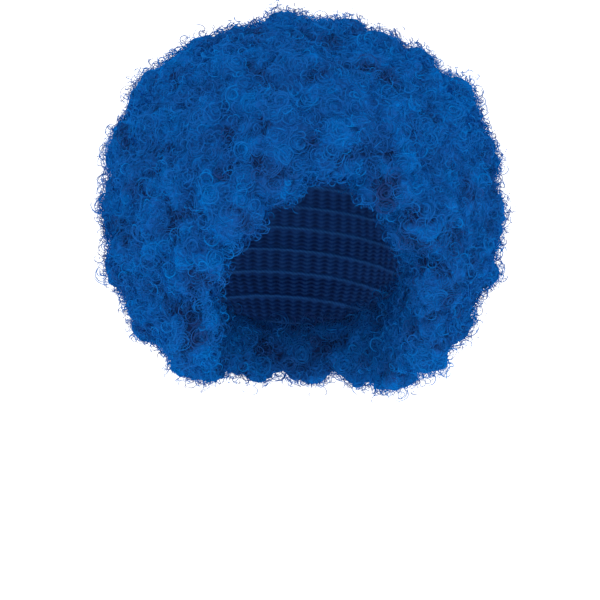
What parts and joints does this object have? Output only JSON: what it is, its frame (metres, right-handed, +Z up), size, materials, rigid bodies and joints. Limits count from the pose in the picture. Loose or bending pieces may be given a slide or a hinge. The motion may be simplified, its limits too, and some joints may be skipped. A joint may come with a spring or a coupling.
{
  "type": "curly wig",
  "caption": "Round ball of tight synthetic curls on a thin knitted cap, open at the face and neck, worn over the head as a costume wig.",
  "frame": {"origin": "crown seat: the top of the inside of the cap, where the wig rests on the crown of a head", "axes": "+Z up out of the crown, -Y out of the face opening, X from one ear to the other"},
  "size_m": [0.291, 0.283, 0.2654],
  "materials": {
    "cap_net": "dark blue knitted stretch net",
    "curls": "royal blue curled synthetic fibre, soft sheen"
  },
  "bodies": {
    "root": {"cap": "cap_net", "crown_weft": "curls", "weft_1": "curls", "weft_2": "curls", "weft_3": "curls"}
  },
  "joints": []
}
